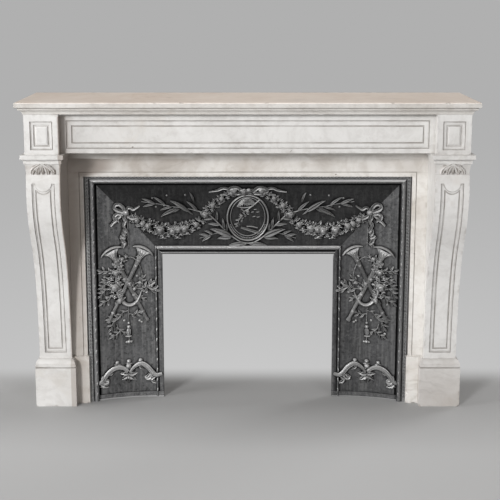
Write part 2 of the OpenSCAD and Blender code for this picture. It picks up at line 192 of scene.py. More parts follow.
def marble_figure():
    """Veins, clouds, stains and specks of the marble, and the height of its worn surface."""
    group, given, out = new_group(
        "Marble figure",
        [("Vein scale", "Float", 2.2), ("Vein width", "Float", 0.03), ("Vein cover", "Float", 0.5),
         ("Stain scale", "Float", 4.0), ("Stain cover", "Float", 0.6), ("Speck size", "Float", 0.075)],
        [("Veins", "Float"), ("Clouds", "Float"), ("Stains", "Float"), ("Specks", "Float"),
         ("Height", "Float")])
    where = here(group)
    drift = node(group, "ShaderNodeTexNoise", {"Vector": where, "Scale": 3.0, "Detail": 4.0}).outputs["Color"]
    bent = node(group, "ShaderNodeVectorMath", {0: drift, 1: (0.5, 0.5, 0.5)},
                operation="SUBTRACT").outputs[0]
    bent = node(group, "ShaderNodeVectorMath", {0: bent, "Scale": 0.25}, operation="SCALE").outputs[0]
    bent = node(group, "ShaderNodeVectorMath", {0: where, 1: bent}, operation="ADD").outputs[0]
    slanted = node(group, "ShaderNodeMapping", {"Vector": bent, "Rotation": (0.3, 0.7, 0.2),
                                                "Scale": (1.0, 1.0, 3.2)}).outputs[0]
    ridge = grain_of(slanted, given["Vein scale"], 5.0, 0.5)
    ridge = maths("ABSOLUTE", minus(ridge, 0.5))
    ridge = maths("DIVIDE", ridge, given["Vein width"], clamp=True)
    ridge = minus(1.0, ridge)
    cover = grain_of(where, 2.6, 2.0)
    cover = minus(cover, given["Vein cover"])
    cover = times(cover, 7.0, clamp=True)
    veins = times(maths("POWER", ridge, 1.6), cover)
    clouds = ramp(grain_of(bent, 4.0, 5.0, 0.55), 0.35, 0.68)
    mottled = ramp(grain_of(bent, 26.0, 5.0, 0.7), 0.42, 0.66)
    clouds = plus(times(clouds, 0.6), times(mottled, 0.5))
    stains = grain_of(bent, given["Stain scale"], 4.0, 0.6, 0.6)
    stains = times(minus(stains, given["Stain cover"]), 6.0, clamp=True)
    lying = node(group, "ShaderNodeMapping", {"Vector": bent, "Scale": (0.4, 1.0, 1.0)}).outputs[0]
    cells = node(group, "ShaderNodeTexVoronoi", {"Vector": lying, "Scale": 22.0}).outputs["Distance"]
    ragged = times(minus(grain_of(where, 120.0), 0.5), 0.12)
    cells = maths("DIVIDE", plus(cells, ragged), given["Speck size"])
    specks = times(ramp(cells, 1.0, 0.5), ramp(grain_of(where, 9.0, 1.0), 0.5, 0.58))
    fine = grain_of(where, 320.0, 2.0)
    worn = grain_of(where, 28.0, 3.0)
    height = plus(times(fine, 0.25), times(worn, 0.6))
    height = minus(height, times(specks, 0.6))
    for label, value in (("Veins", veins), ("Clouds", clouds), ("Stains", stains), ("Specks", specks),
                         ("Height", height)):
        group.links.new(value, out[label])
    return group


def crease_grime_and_shade():
    """How far a place lies in a corner or a crease, darkened there partly as grime and partly as painted
    shade, or on a worn outer edge.
    """
    group, given, out = new_group("Crease grime and painted shade", [("Reach", "Float", 0.01), ("Depth", "Float", 0.5)],
                                  [("Grime and shade", "Float"), ("Worn edge", "Float")])
    # painted shade: corners and creases closed in within the reach are darkened, partly as grime
    open_sky = node(group, "ShaderNodeAmbientOcclusion", {"Distance": given["Reach"]}, samples=8,
                    only_local=True).outputs["AO"]
    patchy = grain_of(here(group), 30.0, 3.0, 0.6)
    open_sky = plus(open_sky, times(minus(patchy, 0.5), 0.6))
    group.links.new(ramp(open_sky, 0.95, given["Depth"]), out["Grime and shade"])
    solid = node(group, "ShaderNodeAmbientOcclusion", {"Distance": given["Reach"]}, samples=8, inside=True,
                 only_local=True).outputs["AO"]
    group.links.new(times(ramp(solid, 0.9, 0.55), ramp(patchy, 0.48, 0.66)),
                    out["Worn edge"])
    return group


def new_material(name):
    """A material, its tree and its Principled node."""
    made = bpy.data.materials.new(name)
    made.use_nodes = True
    made.node_tree.nodes.clear()
    out = made.node_tree.nodes.new("ShaderNodeOutputMaterial")
    skin = made.node_tree.nodes.new("ShaderNodeBsdfPrincipled")
    made.node_tree.links.new(skin.outputs[0], out.inputs[0])
    return made, made.node_tree, skin


def stains_and_painted_shade():
    """Brown stains along the lintel; painted shade on the inner side of the left jamb and on the frieze's
    left end; the left slip's front darkened, partly as stain and partly as painted shade; and the right foot
    block darkened towards the floor.
    """
    # places are in metres: the lintel is taken from 0.80 to 0.87, and the darkening ends under the shelf
    group, given, out = new_group("Stains and painted shade", [], [("Stains and shade", "Float")])
    coords = node(group, "ShaderNodeTexCoord")
    x, y, z = each_of(coords.outputs["Object"])
    facing = each_of(coords.outputs["Normal"])
    # painted shade on the inner side of the left jamb
    inner_side = times(ramp(facing[0], 0.5, 0.9), ramp(x, -0.55, -0.6))
    lintel = times(ramp(z, 0.80, 0.84), ramp(z, 0.874, 0.87))
    over = ramp(z, 0.87, 0.874)
    spread = minus(x, times(lintel, 0.1))
    spread = plus(spread, times(over, 0.03))
    # painted shadow of the left end block on the frieze's left end; on the left slip's front, partly stain
    # and partly painted shade
    corner = times(ramp(spread, -0.52, -0.6), ramp(facing[1], 0.5, -0.5))
    corner = times(corner, ramp(x, -0.617, -0.615))
    patches = ramp(grain_of(coords.outputs["Object"], 5.0, 3.0, 0.6), 0.42, 0.66, 0.14, 0.5)
    stains_and_shade = most(inner_side, corner)
    stains_and_shade = most(stains_and_shade, times(lintel, patches))
    # the right foot block is darkened towards the floor
    foot_low, foot_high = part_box("right_foot_block")
    foot = times(ramp(x, foot_low.x - 0.002, foot_low.x - 0.001),
                 ramp(z, foot_high.z, 0.0, 0.3, 0.52))
    foot = times(foot, ramp(z, foot_high.z + 0.0005, foot_high.z - 0.0005))
    foot = times(foot, plus(patches, 0.5))
    height = times(ramp(z, 0.1, 0.5, 0.6, 1.0), ramp(z, 1.035, 1.03))
    stains_and_shade = times(stains_and_shade, height)
    group.links.new(most(stains_and_shade, foot), out[0])
    return group


def marble(name, ground, cloud, vein, stain, values, top=None):
    """Marble from the colours of its ground, clouds, veins and stains; top holds those of a shelf's top."""
    made, tree, skin = new_material(name)
    marks = node(tree, "ShaderNodeGroup", node_tree=figure_group)
    for label, value in values.items():
        marks.inputs[label].default_value = value
    if top:
        level = each_of(here(tree))[2]
        level = ramp(level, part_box("shelf")[1].z - 0.0035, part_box("shelf")[1].z - 0.0005)
        ground, cloud = tint(level, ground, top[0]), tint(level, cloud, top[1])
    colour = tint(marks.outputs["Clouds"], ground, cloud)
    colour = tint(times(marks.outputs["Veins"], 0.38), colour, vein)
    colour = tint(times(marks.outputs["Stains"], 0.5), colour, stain)
    colour = tint(times(marks.outputs["Specks"], 0.75), colour, (0.16, 0.13, 0.1))
    where = here(tree)
    cleaned = ramp(grain_of(where, 7.0, 3.0, 0.6), 0.36, 0.62, 0.4, 1.15)
    # painted shade: creases, corners and joints darkened, partly as grime
    for reach, depth, share in ((0.005, 0.66, 0.34), (0.014, 0.42, 0.54)):
        creases_and_edges = node(tree, "ShaderNodeGroup", {"Reach": reach, "Depth": depth}, node_tree=grime_and_shade_group)
        grime_and_shade = times(times(creases_and_edges.outputs["Grime and shade"], share), cleaned)
        colour = tint(grime_and_shade, colour, (0.225, 0.195, 0.17))
    colour = tint(times(creases_and_edges.outputs["Worn edge"], 0.34), colour, (0.27, 0.24, 0.21))
    # stains, and painted shade on the left of the opening, in brown
    stains_and_shade = node(tree, "ShaderNodeGroup", node_tree=stain_and_shade_group).outputs["Stains and shade"]
    colour = tint(times(stains_and_shade, 0.8), colour, (0.30, 0.25, 0.215))
    tree.links.new(colour, skin.inputs["Base Color"])
    tree.links.new(ramp(marks.outputs["Stains"], 0.0, 1.0, 0.34, 0.55), skin.inputs["Roughness"])
    skin.inputs["Specular IOR Level"].default_value = 0.35
    bump = node(tree, "ShaderNodeBump",
                {"Height": marks.outputs["Height"], "Strength": 0.3, "Distance": 0.0012})
    tree.links.new(bump.outputs[0], skin.inputs["Normal"])
    return made


def cast_iron(name, dark, light, streaked, crest_colour):
    """Pitted iron, black in its hollows as patina and painted shade, worn bright where the crest attribute is
    high, with painted light on faces turned up and painted shade on faces turned down.
    """
    made, tree, skin = new_material(name)
    where = here(tree)
    high = node(tree, "ShaderNodeAttribute", attribute_name="crest").outputs["Fac"]
    sand = grain_of(where, 260.0, 4.0, 0.7)
    cloudy = grain_of(where, 7.0, 4.0, 0.6)
    drawn_down = node(tree, "ShaderNodeMapping", {"Vector": where, "Scale": (110, 110, 6)}).outputs[0]
    streak = grain_of(drawn_down, 1.0, 3.0)
    pitted = grain_of(where, 95.0, 3.0, 0.65)
    rubbed_and_top_lit = ramp(plus(high, times(minus(sand, 0.5), 0.7)), 0.3, 0.95)
    colour = tint(ramp(cloudy, 0.3, 0.7), dark, light)
    colour = tint(ramp(streak, 0.42, 0.7, 0.0, 0.6), colour, streaked)
    colour = tint(ramp(pitted, 0.5, 0.72, 0.0, 0.6), colour, streaked)
    colour = tint(ramp(pitted, 0.46, 0.28, 0.0, 0.7), colour, (0.01, 0.01, 0.0105))
    # the hollows, the feet of the relief and closed-in creases go near black: partly patina, partly painted
    # shade
    creases_and_edges = node(tree, "ShaderNodeGroup", {"Reach": 0.011, "Depth": 0.42}, node_tree=grime_and_shade_group)
    sunk_and_shaded = most(ramp(high, -0.05, -0.7), creases_and_edges.outputs["Grime and shade"])
    upward = each_of(node(tree, "ShaderNodeTexCoord").outputs["Normal"])[2]
    # painted highlight: faces turned up are lightened as if lit from above
    painted_top_light = ramp(upward, 0.02, 0.5)
    rubbed_and_top_lit = most(times(rubbed_and_top_lit, 0.55), times(painted_top_light, ramp(high, -0.3, 0.4)))
    # painted shade: faces turned down lose their brightening and go near black
    rubbed_and_top_lit = times(rubbed_and_top_lit, ramp(upward, -0.35, -0.95, 0.95, 0.35))
    colour = tint(ramp(upward, -0.08, -0.6, 0.0, 0.85), colour, (0.005, 0.005, 0.0055))
    colour = tint(sunk_and_shaded, colour, (0.004, 0.004, 0.0044))
    colour = tint(rubbed_and_top_lit, colour, crest_colour)
    tree.links.new(colour, skin.inputs["Base Color"])
    skin.inputs["Metallic"].default_value = 0.45
    skin.inputs["Specular IOR Level"].default_value = 0.4
    rough = minus(ramp(cloudy, 0.3, 0.7, 0.44, 0.56), times(rubbed_and_top_lit, 0.16))
    rough = plus(rough, times(sunk_and_shaded, 0.3))
    tree.links.new(rough, skin.inputs["Roughness"])
    height = plus(sand, times(pitted, 2.0))
    bump = node(tree, "ShaderNodeBump", {"Height": height, "Strength": 0.6, "Distance": 0.0016})
    tree.links.new(bump.outputs[0], skin.inputs["Normal"])
    return made


# ------------------------------------------------------------------ the room
def set_room():
    """A grey floor that fades into a plain backdrop, and a dim warm sky."""
    bm = bmesh.new()
    bmesh.ops.create_circle(bm, cap_ends=True, segments=96, radius=60)
    mesh = bpy.data.meshes.new("floor")
    bm.to_mesh(mesh)
    floor = new_object("floor", mesh)
    made = bpy.data.materials.new("studio floor")
    made.use_nodes = True
    tree = made.node_tree
    tree.nodes.clear()
    x, y, z = each_of(here(tree))
    away = maths("SQRT", plus(times(x, x), times(y, y)))
    fade = maths("POWER", 2.718, times(away, -0.45))
    far = tint(fade, BACKDROP, (0.60, 0.60, 0.60))
    near = node(tree, "ShaderNodeBsdfDiffuse", {"Color": (0.44, 0.44, 0.44, 1)}).outputs[0]
    glow = node(tree, "ShaderNodeEmission", {"Color": far}).outputs[0]
    behind = ramp(y, 0.17, 0.36)
    beyond = ramp(away, 1.2, 2.2)
    seen = node(tree, "ShaderNodeLightPath").outputs["Is Camera Ray"]
    shiny = node(tree, "ShaderNodeLightPath").outputs["Is Glossy Ray"]
    share = times(most(behind, beyond), most(seen, shiny))
    both = node(tree, "ShaderNodeMixShader", {0: share, 1: near, 2: glow}).outputs[0]
    tree.links.new(both, tree.nodes.new("ShaderNodeOutputMaterial").inputs[0])
    mesh.materials.append(made)
    world = bpy.data.worlds.new("studio")
    bpy.context.scene.world = world
    world.use_nodes = True
    tree = world.node_tree
    tree.nodes.clear()
    light = node(tree, "ShaderNodeBackground", {"Color": (1, 0.95, 0.9, 1), "Strength": 0.17}).outputs[0]
    shown = node(tree, "ShaderNodeBackground", {"Color": (*BACKDROP, 1)}).outputs[0]
    seen = node(tree, "ShaderNodeLightPath").outputs["Is Camera Ray"]
    both = node(tree, "ShaderNodeMixShader", {0: seen, 1: light, 2: shown}).outputs[0]
    tree.links.new(both, tree.nodes.new("ShaderNodeOutputWorld").inputs[0])


# ------------------------------------------------------------------ marble pieces
def nicks(count, heights, seed):
    """Small breaks spread along the front of a piece at the given shares of its height."""
    rng = np.random.default_rng(seed)
    return [((i + rng.uniform(0.1, 0.9)) / count, rng.choice(heights), rng.uniform(3.5, 6.0))
            for i in range(count)]


def worn_stone(name, slot, skin):
    """The sawn and carved stone with its arrises rubbed soft and small chips knocked off it."""
    bm = bmesh.new()
    bm.from_mesh(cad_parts[name].data)
    bmesh.ops.remove_doubles(bm, verts=bm.verts, dist=1e-6)
    bmesh.ops.dissolve_limit(bm, angle_limit=math.radians(0.5), verts=bm.verts, edges=bm.edges)
    mesh = bpy.data.meshes.new(name + "_stone")
    bm.to_mesh(mesh)
    bm.free()
    piece = new_object(name + "_stone", mesh)
    bevel = piece.modifiers.new("arris", "BEVEL")
    bevel.width = ARRIS * MM
    bevel.segments = 2
    bevel.limit_method = "ANGLE"
    bevel.angle_limit = math.radians(32)
    mesh.shade_smooth()
    mesh.set_sharp_from_angle(angle=math.radians(40))
    flints = chips_off(piece, name) if name in BROKEN else None
    piece.modifiers.new("flat faces", "WEIGHTED_NORMAL").keep_sharp = True
    bpy.context.view_layer.update()
    seen = piece.evaluated_get(bpy.context.evaluated_depsgraph_get())
    worn = bpy.data.meshes.new_from_object(seen)
    piece.modifiers.clear()
    piece.data = worn
    if flints:
        bpy.data.objects.remove(flints)
    finish_piece(piece, skin, slot, name)
    return piece


def chips_off(piece, name):
    """Breaks small hollows out of a piece's front, at shares of its width and height."""
    low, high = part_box(name)
    bm = bmesh.new()
    rng = np.random.default_rng(len(BROKEN[name]))
    for across, up, size in BROKEN[name]:
        centre = Vector((low.x + (high.x - low.x) * across, low.y, low.z + (high.z - low.z) * up))
        stretch = (rng.uniform(1.0, 2.2), 0.8, rng.uniform(0.7, 1.1))
        for v in bmesh.ops.create_icosphere(bm, subdivisions=2, radius=size * MM)["verts"]:
            v.co = centre + Vector([c * s * rng.uniform(0.85, 1.1) for c, s in zip(v.co, stretch)])
    mesh = bpy.data.meshes.new("chips")
    bm.to_mesh(mesh)
    bm.free()
    flints = new_object("chips", mesh)
    cut = piece.modifiers.new("chips", "BOOLEAN")
    cut.operation = "DIFFERENCE"
    cut.solver = "EXACT"
    cut.use_self = True
    cut.object = flints
    return flints


def finish_piece(piece, skin, slot, *nodes):
    """Gives a piece its skin, its body and the solids it stands for; slot is not used."""
    piece.data.materials.clear()
    piece.data.materials.append(skin)
    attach(piece, "root")
    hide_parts(*nodes)


# ------------------------------------------------------------------ relief, drawn flat on the bench
class Relief:
    """Carved work drawn flat: across, up, and height off the plate, in millimetres."""

    def __init__(self):
        self.points = []
        self.faces = []
        self.crests = []

    def add(self, points, faces, crests):
        """Adds points with how far each stands out as a crest, and the faces between them."""
        start = len(self.points)
        self.points.extend([tuple(p) for p in points])
        self.faces.extend([tuple(start + i for i in f) for f in faces])
        self.crests.extend(list(crests))

    def join(self, other, move=(0, 0), turn=0, size=1.0, lift=0.0):
        """A copy of other, turned anticlockwise by turn degrees, sized and moved."""
        c, s = math.cos(math.radians(turn)), math.sin(math.radians(turn))
        self.add([(move[0] + size * (x * c - y * s), move[1] + size * (x * s + y * c), lift + size * h)
                  for x, y, h in other.points], other.faces, other.crests)

    def scatter(self, other, spots, turn=0, size=1.0, lift=0.0):
        """The same copy at each of the spots, which may end with a size of their own."""
        for x, z, *own in spots:
            self.join(other, (x, z), turn, *(own or [size]), lift)

    def mirrored(self):
        """The same work on the other side of the middle."""
        made = Relief()
        made.add([(-x, y, h) for x, y, h in self.points], [f[::-1] for f in self.faces], self.crests)
        return made


# sections of carved work: across, from -1 to 1, and up, as a share of the height
HALF_ROUND = [(-1, 0), (-0.85, 0.55), (-0.45, 0.9), (0, 1), (0.45, 0.9), (0.85, 0.55), (1, 0)]
RIBBON = [(-1, 0), (-0.9, 1), (-0.5, 0.62), (0, 0.5), (0.5, 0.62), (0.9, 1), (1, 0)]
BLADE = [(-1, 0), (-0.55, 0.95), (-0.12, 0.5), (0.12, 0.5), (0.55, 0.95), (1, 0)]


def smooth(points, steps):
    """A smooth line through the points."""
    p = np.array(points, float)
    p = np.vstack([2 * p[0] - p[1], p, 2 * p[-1] - p[-2]])
    made = []
    for i in range(len(points) - 1):
        a, b, c, d = p[i:i + 4]
        for t in np.arange(steps) / steps:
            made.append(0.5 * (2 * b + (c - a) * t + (2 * a - 5 * b + 4 * c - d) * t * t
                               + (3 * b - a - 3 * c + d) * t ** 3))
    made.append(p[-2])
    return np.array(made)


def between(rings, around, closed=False):
    """The faces between rings of points, capped at both ends unless the last ring meets the first."""
    faces = []
    for i in range(rings if closed else rings - 1):
        for k in range(around):
            row, after, beyond = i * around, (k + 1) % around, (i + 1) % rings * around
            faces.append((row + k, row + after, beyond + after, beyond + k))
    if not closed:
        faces.append(tuple(range(around - 1, -1, -1)))
        faces.append(tuple((rings - 1) * around + k for k in range(around)))
    return faces


def along(count, *values):
    """Values spread evenly along a path of count points."""
    return np.interp(np.linspace(0, 1, count), np.linspace(0, 1, len(values)), values)


def carve(work, path, widths, heights, section=HALF_ROUND, lift=0.0, sink=2.5, closed=False, crest=None):
    """Relief along a path, with the section's pairs of [across, up] scaled at each of its points."""
    path = np.array(path, float)
    n = len(path)
    widths = np.broadcast_to(widths, n)
    heights = np.broadcast_to(heights, n)
    lifts = np.broadcast_to(lift, n)
    if closed:
        run = np.roll(path, -1, 0) - np.roll(path, 1, 0)
    else:
        run = np.gradient(path, axis=0)
    run /= np.maximum(np.linalg.norm(run, axis=1), 1e-9)[:, None]
    side = np.c_[-run[:, 1], run[:, 0]]
    points, crests = [], []
    for i in range(n):
        outline = [(section[0][0], None)] + list(section) + [(section[-1][0], None)]
        for across, up in outline:
            at = path[i] + side[i] * widths[i] * across
            h = lifts[i] + heights[i] * up if up is not None else -sink
            points.append((at[0], at[1], h))
            # the foot of the work gets crest -0.9, which the iron paints near black: partly patina, partly
            # painted shade
            crests.append(-0.9 if up is None or up == 0 else (up if crest is None else up * crest))
    work.add(points, between(n, len(section) + 2, closed), crests)


def boss(rings, segments):
    """A turned or petalled boss from [radius, height, petals, depth, turn] rings, outermost first."""
    work = Relief()
    points, crests = [], []
    for i, (radius, height, petals, depth, turn) in enumerate(rings):
        around = [rings[j][1] for j in (i - 1, i + 1) if 0 <= j < len(rings)]
        for k in range(segments):
            a = 2 * math.pi * k / segments
            wave = math.cos(petals * (a - math.radians(turn)))
            r = radius * (1 + depth * wave)
            points.append((r * math.cos(a), r * math.sin(a), height))
            low = height < min(around) or (depth > 0.08 and wave < -0.5)
            # the foot gets crest -0.9, painted near black by the iron, partly patina and partly painted
            # shade; lower rings are worn less
            crests.append(-0.9 if height <= 0 else 0.3 if low else 0.7)
    work.add(points, between(len(rings), segments), crests)
    return work


def rose():
    """An open rose, 10 mm in radius: a row of cupped petals round a bud."""
    return boss([(9, -2.5, 5, 0.1, 0), (10, 2.2, 5, 0.12, 0), (9.4, 4.4, 5, 0.12, 0), (7.0, 6.2, 5, 0.08, 0),
                 (6.2, 5.8, 3, 0.06, 20), (5.4, 8.0, 3, 0.08, 20), (2.8, 8.9, 3, 0.0, 20)], 15)


def daisy():
    """A small open flower, 10 mm in radius, with five petals."""
    return boss([(8, -2.5, 5, 0.2, 0), (10, 2.4, 5, 0.26, 0), (7.8, 4.6, 5, 0.24, 0), (4.2, 2.6, 5, 0.05, 0),
                 (3.4, 5.4, 5, 0, 0), (1.6, 6.4, 5, 0, 0)], 10)


def bead():
    """A round bead, 10 mm in radius."""
    return boss([(10, -2, 1, 0, 0), (9.6, 3, 1, 0, 0), (7.2, 7, 1, 0, 0), (3.6, 9.2, 1, 0, 0)], 10)


def rice_bead():
    """A long pearl of the border, 10 mm long, pointed at both ends."""
    work = Relief()
    carve(work, [(-5, 0), (-4, 0), (-2.2, 0), (0, 0), (2.2, 0), (4, 0), (5, 0)],
          np.array([0.2, 1.1, 1.75, 2.0, 1.75, 1.1, 0.2]), np.array([0.3, 1.2, 2.0, 2.3, 2.0, 1.2, 0.3]),
          [(-1, 0), (-0.6, 0.75), (0, 1), (0.6, 0.75), (1, 0)], sink=1)
    return work


def leaf(teeth=True, plump=0.3, crest=0.62):
    """A leaf 10 mm long that grows along +X, veined down its middle."""
    t = np.linspace(0, 1, 8)
    widths = 10 * plump * np.sin(math.pi * t ** 0.75) ** 0.8 + 0.15
    if teeth:
        widths = widths * np.array([1, 1.1, 0.8, 1.2, 0.8, 1.2, 0.8, 1])
    work = Relief()
    carve(work, np.c_[10 * t, 0.5 * np.sin(math.pi * t)], widths,
          0.7 + 2.3 * np.sin(math.pi * np.minimum(1, 0.15 + t)), BLADE, sink=1, crest=crest)
    return work


# ------------------------------------------------------------------ repeated work, strung by Geometry Nodes
def stringer():
    """Copies of a bead along a line: its pitch, lean, sizes and seed are inputs."""
    group, given, out = new_group(
        "Strung along a line",
        [("Line", "Geometry", None), ("Bead", "Object", None), ("Pitch", "Float", 10.0),
         ("Lean", "Float", 0.0), ("Sway", "Float", 0.0), ("Smallest", "Float", 1.0),
         ("Largest", "Float", 1.0), ("Seed", "Int", 1), ("Iron", "Material", None)],
        [("Work", "Geometry")], "GeometryNodeTree")
    line = node(group, "GeometryNodeMeshToCurve", {0: given["Line"]}).outputs[0]
    line = node(group, "GeometryNodeResampleCurve", {"Curve": line, "Length": given["Pitch"]},
                mode="LENGTH").outputs[0]
    spots = node(group, "GeometryNodeCurveToPoints", {"Curve": line}, mode="EVALUATED")
    face = node(group, "FunctionNodeAlignRotationToVector", {"Vector": spots.outputs["Tangent"]}, axis="X",
                pivot_axis="Z").outputs[0]
    sway = node(group, "FunctionNodeRandomValue", {2: -1.0, 3: 1.0, "Seed": given["Seed"]},
                data_type="FLOAT").outputs[1]
    lean = plus(given["Lean"], times(sway, given["Sway"]))
    turn = node(group, "ShaderNodeCombineXYZ", {2: lean}).outputs[0]
    turn = node(group, "FunctionNodeEulerToRotation", {0: turn}).outputs[0]
    face = node(group, "FunctionNodeRotateRotation", {0: face, 1: turn}, rotation_space="LOCAL").outputs[0]
    other_seed = node(group, "FunctionNodeIntegerMath", {0: given["Seed"], 1: 7}, operation="ADD").outputs[0]
    size = node(group, "FunctionNodeRandomValue",
                {2: given["Smallest"], 3: given["Largest"], "Seed": other_seed}, data_type="FLOAT").outputs[1]
    swell = node(group, "GeometryNodeInputNamedAttribute", {"Name": "swell"}, data_type="FLOAT").outputs[0]
    size = times(size, swell)
    bead_in = node(group, "GeometryNodeObjectInfo", {0: given["Bead"]}, transform_space="ORIGINAL")
    scale = node(group, "ShaderNodeCombineXYZ", {0: size, 1: size, 2: size}).outputs[0]
    copies = node(group, "GeometryNodeInstanceOnPoints",
                  {"Points": spots.outputs["Points"], "Instance": bead_in.outputs["Geometry"],
                   "Rotation": face, "Scale": scale}).outputs[0]
    solid = node(group, "GeometryNodeRealizeInstances", {0: copies}).outputs[0]
    solid = node(group, "GeometryNodeSetMaterial", {0: solid, "Material": given["Iron"]}).outputs[0]
    group.links.new(solid, out[0])
    return group


def mark(mesh, label, values):
    """Gives each point of the mesh a value that its material or the stringer reads."""
    mesh.attributes.new(label, "FLOAT", "POINT").data.foreach_set("value", np.array(values, np.float32))


def template(work, name):
    """A bead for the stringer to copy, kept out of sight."""
    mesh = bpy.data.meshes.new(name)
    mesh.from_pydata(work.points, [], work.faces)
    mark(mesh, "crest", work.crests)
    made = new_object(name, mesh)
    made.hide_render = True
    return made


def strung(work, bead_object, line, pitch, sizes, lean=0.0, sway=0.0, seed=1, swell=(1, 1), lift=0.0):
    """Strings copies of a bead along the line and adds them to the work."""
    line = np.array(line, float)
    mesh = bpy.data.meshes.new("line")
    mesh.from_pydata([(x, y, lift) for x, y in line], [(i, i + 1) for i in range(len(line) - 1)], [])
    mark(mesh, "swell", along(len(line), *swell))
    host = new_object("line", mesh)
    nodes = host.modifiers.new("string", "NODES")
    nodes.node_group = stringer_tree
    values = {"Bead": bead_object, "Pitch": float(pitch), "Lean": math.radians(lean),
              "Sway": math.radians(sway), "Smallest": float(sizes[0]), "Largest": float(sizes[1]),
              "Seed": seed, "Iron": iron}
    for socket in stringer_tree.interface.items_tree:
        if socket.in_out == "INPUT" and socket.name in values:
            nodes[socket.identifier] = values[socket.name]
    made = bpy.data.meshes.new_from_object(host.evaluated_get(bpy.context.evaluated_depsgraph_get()))
    count = len(made.vertices)
    points = np.empty(3 * count)
    made.vertices.foreach_get("co", points)
    crests = np.zeros(count, np.float32)
    if "crest" in made.attributes:
        made.attributes["crest"].data.foreach_get("value", crests)
    work.add(points.reshape(-1, 3).tolist(), [tuple(f.vertices) for f in made.polygons], crests.tolist())
    host.modifiers.remove(nodes)
    bpy.data.objects.remove(host)
    bpy.data.meshes.remove(made)


# ------------------------------------------------------------------ the castings
def iron_section(width, lip, shine, roll, gap):
    """A casting's section, inward along its face and back behind, as [way in, depth, crest]."""
    plate_w = width - RIM - lip
    k = lip / 28
    lapped, stepped = 201, 205
    # negative crests mark steps and grooves, which the iron paints near black, partly as patina and partly as
    # painted shade; the border band's high crests make it bright, partly as wear and partly as painted light
    # where the marble's edge shades it
    rows = [(-LAP, lapped, 0), (0.6, lapped, -1), (2.2, 194, -0.6), (2.6, 184.5, 0.4), (4, 182.6, 0.7),
            (7, 181.6, 0.75), (10, 181.4, 0.75), (13, 181.8, 0.72), (16.2, 183, 0.55), (16.8, 185, -0.4),
            (17.6, 185, -0.4), (18.2, 183.6, 0.2)]
    for t in np.linspace(0.08, 0.95, 9):
        round_up = math.sin(math.pi * t)
        rows += [(18.5 + 15.5 * t, 184.6 - 5.2 * round_up ** 0.8, 0.35 + 0.25 * round_up)]
    rows += [(34.6, 187, -0.4), (35, stepped - 0.5, -1), (RIM - 0.8, stepped, -1), (RIM - 0.2, 200, -0.3)]
    rows += [(RIM + plate_w * t, splayed(t), 0.0) for t in np.linspace(0, 1, 22)]
    deep = FACE + SPLAY
    rows += [(width - lip + k * 0.8, deep + 1.5, -0.7)]
    rows += [(width - lip + k * (1 + roll * t), deep - 2 - 5.0 * math.sin(math.pi * t) ** 0.5,
              shine * (0.4 + 0.6 * math.sin(math.pi * t) ** 0.5)) for t in np.linspace(0.03, 0.97, 8)]
    groove = width - lip + k * (roll + 1.6)
    rows += [(groove, deep + 6, -1), (groove + gap, deep + 6, -1),
             (groove + gap + 0.8, deep - 2.2, shine), (groove + gap + 1.6, deep - 2.8, 0.65 * shine),
             (width - 2.5, deep - 2.6, 0.65 * shine), (width - 0.6, deep - 1.8, 0.3), (width, deep, 0.1)]
    # the plain back
    rows += [(width, deep + IRON_T, 0), (width - lip, deep + 2 + IRON_T, 0)]
    rows += [(RIM + plate_w * t, splayed(t) + IRON_T, 0) for t in np.linspace(1, 0, 12)[1:-1]]
    return rows + [(RIM, stepped + IRON_T, 0), (-LAP, lapped + IRON_T, 0)]


SEAM_X = [OPENING + LAP, PLATE_OUT, PLATE_IN, FIRE_HALF]
SEAM_Z = [EDGE_Z + LAP, PLATE_TOP, PLATE_LOW, FIRE_H]


def cast_plate(rows, start, stop, steps):
    """Draws a casting's section from where start puts each of its points to where stop does."""
    points, crests = [], []
    for i in range(steps + 1):
        for s, depth, crest in rows:
            a, b = start(s), stop(s)
            t = i / steps
            points.append((a[0] + (b[0] - a[0]) * t, depth, a[1] + (b[1] - a[1]) * t))
            crests.append(crest)
    return points, between(steps + 1, len(rows)), crests


def cheek_plate():
    """The right cheek's plate, upright from the floor to the splayed seam under the top plate."""
    rows = iron_section(OPENING - FIRE_HALF, PLATE_IN - FIRE_HALF, 0.4, 8.0, 1.6)
    return cast_plate(rows, lambda s: (OPENING - s, 0.0),
                      lambda s: (OPENING - s, float(np.interp(OPENING - s, SEAM_X[::-1], SEAM_Z[::-1]))), 24)


def top_plate():
    """The top plate, level between its two splayed seams."""
    rows = iron_section(EDGE_Z - FIRE_H, PLATE_LOW - FIRE_H, 0.75, 14.0, 6.5)

    def edge(s):
        return float(np.interp(EDGE_Z - s, SEAM_Z[::-1], SEAM_X[::-1]))
    return cast_plate(rows, lambda s: (-edge(s), EDGE_Z - s), lambda s: (edge(s), EDGE_Z - s), 40)


def casting(name, plate, work, side=1, depth_of=plate_depth):
    """Joins a plate and the relief laid on it into one piece."""
    points, faces, crests = plate
    rows = [(side * x, y, z) for x, y, z in points]
    laid = np.array(work.points, float)
    rows += [(side * x, depth - (h * BOLD if h > 0 else h), z)
             for (x, z, h), depth in zip(work.points, depth_of(laid[:, 0], laid[:, 1]))]
    start = len(points)
    rings = [tuple(f) for f in faces] + [tuple(start + i for i in f) for f in work.faces]
    mesh = bpy.data.meshes.new(name)
    mesh.from_pydata([(x * MM, (y - DEPTH / 2) * MM, z * MM) for x, y, z in rows], [], rings)
    mark(mesh, "crest", list(crests) + work.crests)
    bm = bmesh.new()
    bm.from_mesh(mesh)
    bmesh.ops.recalc_face_normals(bm, faces=bm.faces)
    bm.to_mesh(mesh)
    bm.free()
    mesh.shade_smooth()
    mesh.set_sharp_from_angle(angle=math.radians(50))
    return new_object(name, mesh)


